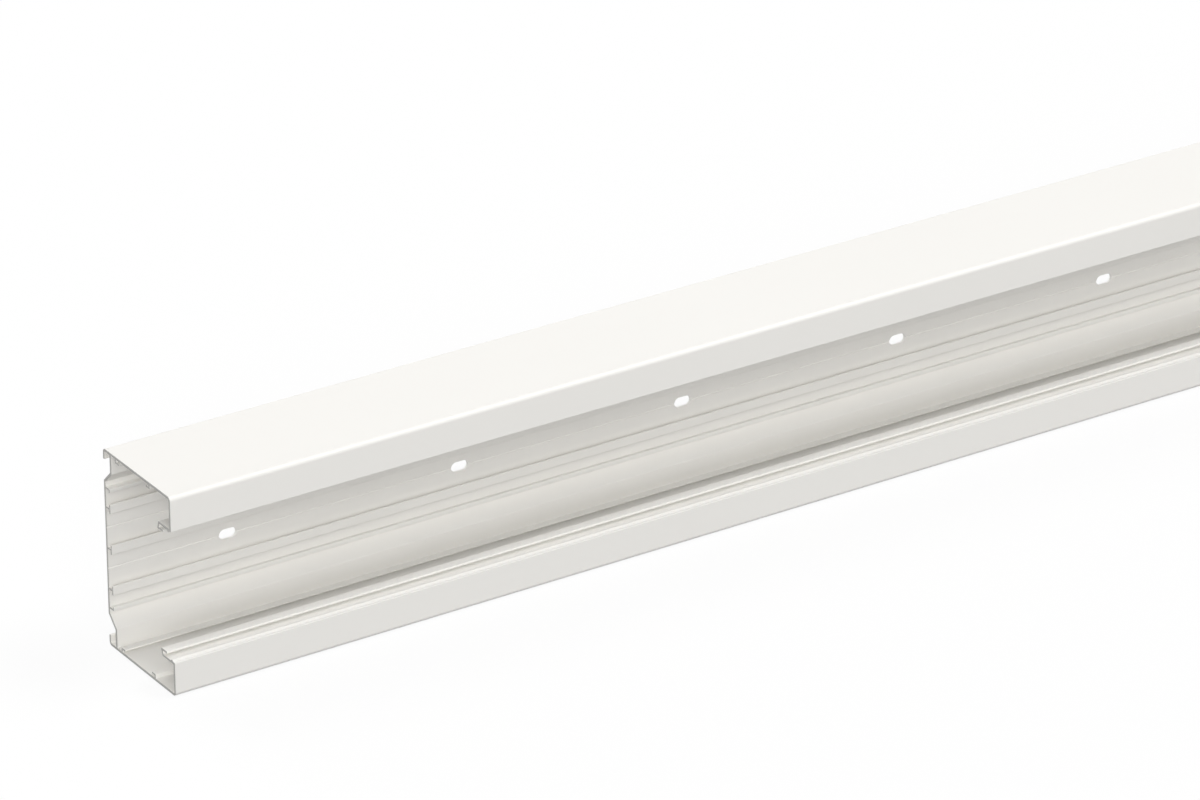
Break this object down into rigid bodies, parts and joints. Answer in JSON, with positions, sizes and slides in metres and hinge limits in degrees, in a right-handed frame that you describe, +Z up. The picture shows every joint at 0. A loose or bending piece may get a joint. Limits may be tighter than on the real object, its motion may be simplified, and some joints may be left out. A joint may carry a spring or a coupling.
{
  "type": "cable trunking",
  "caption": "Extruded plastic wall trunking base with an open front for a clip-on cover, rails on its back wall, clip channels and oblong fixing slots.",
  "frame": {"origin": "centre of the underside, midway along the length and the depth", "axes": "+X along the length, -Y out of the open front, +Y into the wall, +Z up"},
  "size_m": [2, 0.06, 0.1],
  "materials": {
    "white_pvc": "satin"
  },
  "bodies": {
    "root": {"trunking_base": "white_pvc"}
  },
  "joints": []
}
